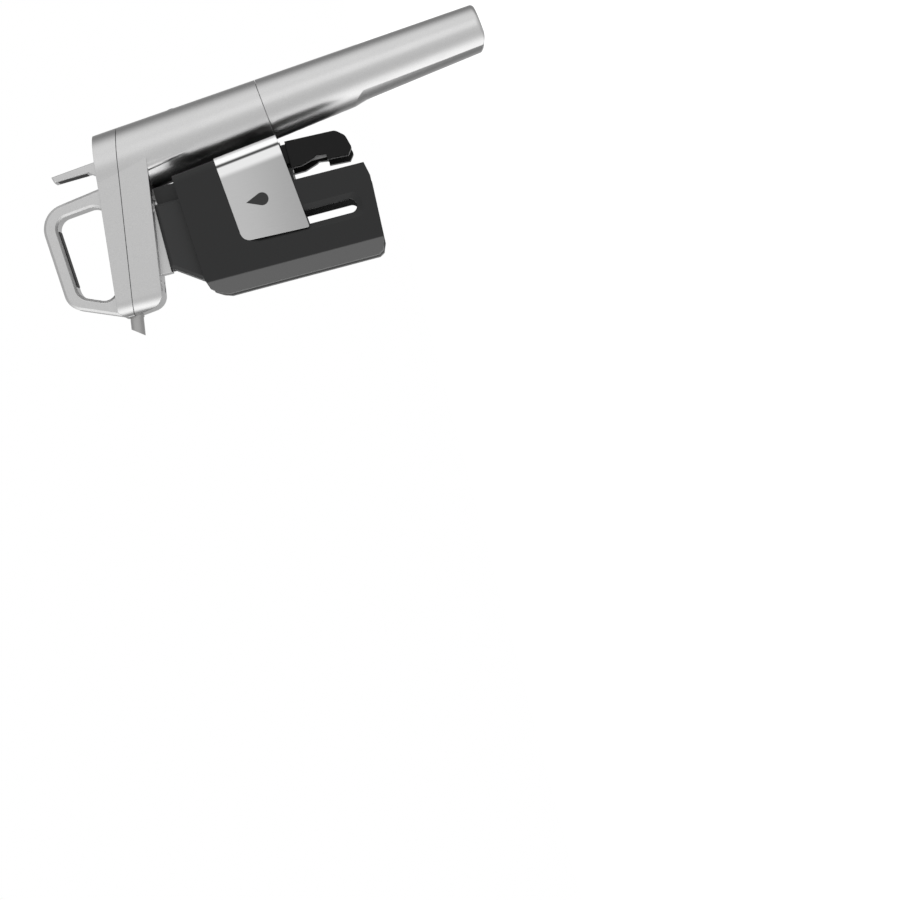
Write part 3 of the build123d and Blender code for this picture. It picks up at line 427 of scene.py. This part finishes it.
class POURER_OT_dress_shells(bpy.types.Operator):
    """Finish the body, cover, cup and trigger"""

    bl_idname = "pourer.dress_shells"
    bl_label = "Silver shells"

    def execute(self, context):
        dress([*BODY_SHELLS, "capsule_cup", "trigger_lever", "trigger_grip"])
        return {"FINISHED"}


class POURER_OT_dress_clamp(bpy.types.Operator):
    """Finish the clamp's head, frame, jaws, levers, badges and pads"""

    bl_idname = "pourer.dress_clamp"
    bl_label = "Clamp"

    def execute(self, context):
        dress([node for body in ("clamp_base", "left_jaw", "right_jaw")
               for node in frame["record"]["behaviour"]["bodies"][body]])
        return {"FINISHED"}


class POURER_OT_dress_works(bpy.types.Operator):
    """Finish the needle, spout, valve, regulator, rail and the other working parts"""

    bl_idname = "pourer.dress_works"
    bl_label = "Works"

    def execute(self, context):
        bodies = frame["record"]["behaviour"]["bodies"]
        works = [node for body in ("handle_body", "valve", "capsule") for node in bodies[body]]
        dress([node for node in works if node not in BODY_SHELLS])
        dress(["cup_bumper"])
        return {"FINISHED"}


# ------------------------------------------------------------------ surfaces
def grid_piece(name, grid, body, node):
    """A closed tube from a grid of points, which stands in for one frame node.

    The grid's first direction runs along the tube and the second round it.
    """
    rings, around = grid.shape[:2]
    ring, spoke = np.meshgrid(np.arange(rings - 1), np.arange(around), indexing="ij")
    here, beside = ring * around + spoke, ring * around + (spoke + 1) % around
    quads = np.stack([here, beside, beside + around, here + around], axis=-1).reshape(-1, 4)
    first = list(range(around - 1, -1, -1))
    last = list(range((rings - 1) * around, rings * around))
    mesh = bpy.data.meshes.new(name)
    mesh.from_pydata(grid.reshape(-1, 3).tolist(), [], [*quads.tolist(), first, last])
    mesh.validate()
    mesh.shade_smooth()
    made = bpy.data.objects.new(name, mesh)
    bpy.context.collection.objects.link(made)
    mesh.materials.append(finish_for(slot_of(node)))
    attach(made, body)
    slot_of(node)
    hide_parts(node)
    return made


# the valve spring, in millimetres along its axis and to the side
SPRING_AXIS = np.array((0.153330784, 0.0, -0.988174919))
SPRING_SIDE = np.array((0.988174919, 0.0, 0.153330784))
SPRING_ENDS = (-37.825, -31.327)
SPRING_CENTRE = -36.865
SPRING_RADIUS = 2.4
SPRING_WIRE = 0.249
SPRING_TURNS = 5.0


def coil_grid(steps=240, around=12):
    """The valve spring's wire as a grid, in metres.

    The wire's middle is c(s) = a h(s) + e u + R (e cos q + f sin q), with q = 2 pi n s. Here a is the
    valve's axis, h runs evenly between the two ends, and e and f are square to a. Round it, each ring is
    c + w (r cos p + b sin p), where r points away from the axis and b is square to r and to the wire.
    """
    side, cross = SPRING_SIDE, np.array((0.0, 1.0, 0.0))
    share = np.linspace(0.0, 1.0, steps)[:, None]
    turn = 2 * np.pi * SPRING_TURNS * share
    low, high = SPRING_ENDS[0] + SPRING_WIRE, SPRING_ENDS[1] - SPRING_WIRE
    out = side * np.cos(turn) + cross * np.sin(turn)
    middle = SPRING_AXIS * (low + (high - low) * share) + side * SPRING_CENTRE + SPRING_RADIUS * out
    along = (SPRING_AXIS * (high - low)
             + 2 * np.pi * SPRING_TURNS * SPRING_RADIUS * (cross * np.cos(turn) - side * np.sin(turn)))
    along /= np.linalg.norm(along, axis=1, keepdims=True)
    beside = np.cross(along, out)
    lap = np.linspace(0.0, 2 * np.pi, around, endpoint=False)[None, :, None]
    rings = middle[:, None] + SPRING_WIRE * (out[:, None] * np.cos(lap) + beside[:, None] * np.sin(lap))
    return rings * MM


class POURER_OT_make_spring(bpy.types.Operator):
    """Make the valve spring"""

    bl_idname = "pourer.make_spring"
    bl_label = "Valve spring"

    def execute(self, context):
        spring = grid_piece("valve_spring_wire", coil_grid(), "handle_body", "valve_spring")
        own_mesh(spring)
        return {"FINISHED"}


# ------------------------------------------------------------------ stage
TILT = math.radians(14.85)  # how far the pourer's axis is turned from level, as the camera sees it
CAMERA_RIGHT = Vector((math.sin(TILT), 0.0, -math.cos(TILT)))
CAMERA_UP = Vector((-math.cos(TILT), 0.0, -math.sin(TILT)))
CAMERA_BACK = Vector((0.0, 1.0, 0.0))
CAMERA_AIM = Vector((0.1175, 0.0, -0.0815))
KEY_BACK, KEY_UP, KEY_SIZE = 0.9, 0.5, 0.5
FLOOR_SIZE = 40


def turned_to(right, up, back, place):
    """A matrix from three directions and a place."""
    matrix = Matrix((right, up, back)).transposed().to_4x4()
    matrix.translation = place
    return matrix


def softbox(name, place, target, size, power):
    """A square area light at a place, facing a target."""
    data = bpy.data.lights.new(name, "AREA")
    data.shape = "SQUARE"
    data.size = size
    data.energy = power
    lamp = bpy.data.objects.new(name, data)
    bpy.context.collection.objects.link(lamp)
    lamp.location = place
    lamp.rotation_mode = "QUATERNION"
    lamp.rotation_quaternion = (Vector(target) - Vector(place)).to_track_quat("-Z", "Y")
    lamp.visible_camera = False
    return lamp


# the room's radiance at angles round Z, in degrees, and at the ceiling and the floor
ROOM_STOPS = (
    (-180, 0.62), (-160, 0.55), (-134, 0.20), (-108, 0.36), (-90, 0.92), (-74, 1.14), (-50, 1.08),
    (-24, 0.94), (0, 0.86), (20, 0.76), (36, 0.82), (48, 1.20), (62, 1.58), (78, 1.75), (94, 1.50),
    (104, 0.30), (134, 0.18), (160, 0.55), (180, 0.62))
ROOM_ENDS = 0.62


def studio_world():
    """White behind the object. For light and reflections, a room whose light follows the angle round Z.

    The angle is 0 on the left side of the object, 90 ahead of it, and -90 behind it. The radiance is read
    from a ramp over that angle, and fades to one even value towards the ceiling and the floor.
    """
    world = bpy.data.worlds.new("studio")
    bpy.context.scene.world = world
    world.use_nodes = True
    tree = world.node_tree
    tree.nodes.clear()

    def added(kind, settings=None, inputs=()):
        made = tree.nodes.new(kind)
        for key, value in (settings or {}).items():
            setattr(made, key, value)
        for index, value in enumerate(inputs):
            if isinstance(value, bpy.types.NodeSocket):
                tree.links.new(value, made.inputs[index])
            elif value is not None:
                made.inputs[index].default_value = value
        return made

    direction = added("ShaderNodeTexCoord").outputs["Generated"]
    parts = added("ShaderNodeSeparateXYZ", inputs=[direction])
    angle = added("ShaderNodeMath", {"operation": "ARCTAN2"}, [parts.outputs["X"], parts.outputs["Y"]])
    share = added("ShaderNodeMath", {"operation": "MULTIPLY_ADD"}, [angle.outputs[0], 0.5 / math.pi, 0.5])
    room = added("ShaderNodeValToRGB", inputs=[share.outputs[0]])
    room.color_ramp.interpolation = "B_SPLINE"
    while len(room.color_ramp.elements) < len(ROOM_STOPS):
        room.color_ramp.elements.new(0.5)
    brightest = max(level for _, level in ROOM_STOPS)
    for element, (degrees, level) in zip(room.color_ramp.elements, ROOM_STOPS):
        element.position = degrees / 360 + 0.5
        element.color = (level / brightest, level / brightest, level / brightest, 1)
    up = added("ShaderNodeMath", {"operation": "POWER"}, [parts.outputs["Z"], 2.0])
    steep = added("ShaderNodeMath", {"operation": "POWER"}, [up.outputs[0], 2.0])
    ends = ROOM_ENDS / brightest
    around = added("ShaderNodeMix", {"data_type": "RGBA"}, [steep.outputs[0]])
    tree.links.new(room.outputs["Color"], around.inputs[6])
    around.inputs[7].default_value = (ends, ends, ends, 1)
    lit = added("ShaderNodeBackground", inputs=[around.outputs[2], brightest])
    seen = added("ShaderNodeBackground", inputs=[(1, 1, 1, 1), 1.0])
    path = added("ShaderNodeLightPath")
    mix = added("ShaderNodeMixShader",
                inputs=[path.outputs["Is Camera Ray"], lit.outputs[0], seen.outputs[0]])
    tree.links.new(mix.outputs[0], added("ShaderNodeOutputWorld").inputs[0])


def pale_floor(height):
    """A wide pale floor that glows a little. It isn't reflected and lights nothing."""
    bpy.ops.mesh.primitive_grid_add(
        x_subdivisions=4, y_subdivisions=4, size=FLOOR_SIZE, location=(0, 0, height))
    floor = bpy.context.object
    floor.name = "floor"
    finish = Finish("pale_floor", Base_Color=grey(0.6), Roughness=0.9, Specular_IOR_Level=0.0,
                    Emission_Color=(1, 1, 1, 1), Emission_Strength=0.75)
    floor.data.materials.append(finish.material)
    floor.visible_glossy = False
    floor.visible_diffuse = False


class POURER_OT_set_stage(bpy.types.Operator):
    """Make the room, the floor, the light and the camera"""

    bl_idname = "pourer.set_stage"
    bl_label = "Stage"

    def execute(self, context):
        settings = context.scene.pourer_stage
        context.scene.view_settings.view_transform = "Standard"
        studio_world()
        low, high = CAD_BOX
        pale_floor(low.z - settings.floor_drop)
        data = bpy.data.cameras.new("camera")
        data.lens = settings.lens
        camera = bpy.data.objects.new("camera", data)
        context.collection.objects.link(camera)
        camera.matrix_world = turned_to(CAMERA_RIGHT, CAMERA_UP, CAMERA_BACK,
                                        CAMERA_AIM + CAMERA_BACK * settings.distance)
        context.scene.camera = camera
        centre = (low + high) / 2
        place = centre + CAMERA_BACK * KEY_BACK + CAMERA_UP * KEY_UP
        softbox("key", place, centre, KEY_SIZE, settings.key_power)
        return {"FINISHED"}


class POURER_PT_panel(bpy.types.Panel):
    """Lists the pourer's operators"""

    bl_label = "Needle wine pourer"
    bl_idname = "POURER_PT_panel"
    bl_space_type = "VIEW_3D"
    bl_region_type = "UI"
    bl_category = "Pourer"

    def draw(self, context):
        for operator in OPERATORS:
            self.layout.operator(operator.bl_idname)
        for group in (context.scene.pourer_finishes, context.scene.pourer_stage):
            for name in group.bl_rna.properties.keys():
                if name not in {"rna_type", "name"}:
                    self.layout.prop(group, name)


OPERATORS = (POURER_OT_dress_shells, POURER_OT_dress_clamp, POURER_OT_dress_works, POURER_OT_make_spring,
             POURER_OT_set_stage)
CLASSES = (PourerFinishes, PourerStage, *OPERATORS, POURER_PT_panel)


def register():
    for made in CLASSES:
        bpy.utils.register_class(made)
    bpy.types.Scene.pourer_finishes = bpy.props.PointerProperty(type=PourerFinishes)
    bpy.types.Scene.pourer_stage = bpy.props.PointerProperty(type=PourerStage)


def unregister():
    del bpy.types.Scene.pourer_finishes
    del bpy.types.Scene.pourer_stage
    for made in reversed(CLASSES):
        bpy.utils.unregister_class(made)


def main():
    """Registers the classes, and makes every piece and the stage."""
    register()
    bpy.ops.pourer.dress_shells()
    bpy.ops.pourer.dress_clamp()
    bpy.ops.pourer.dress_works()
    bpy.ops.pourer.make_spring()
    bpy.ops.pourer.set_stage()


if __name__ == "__main__":
    main()
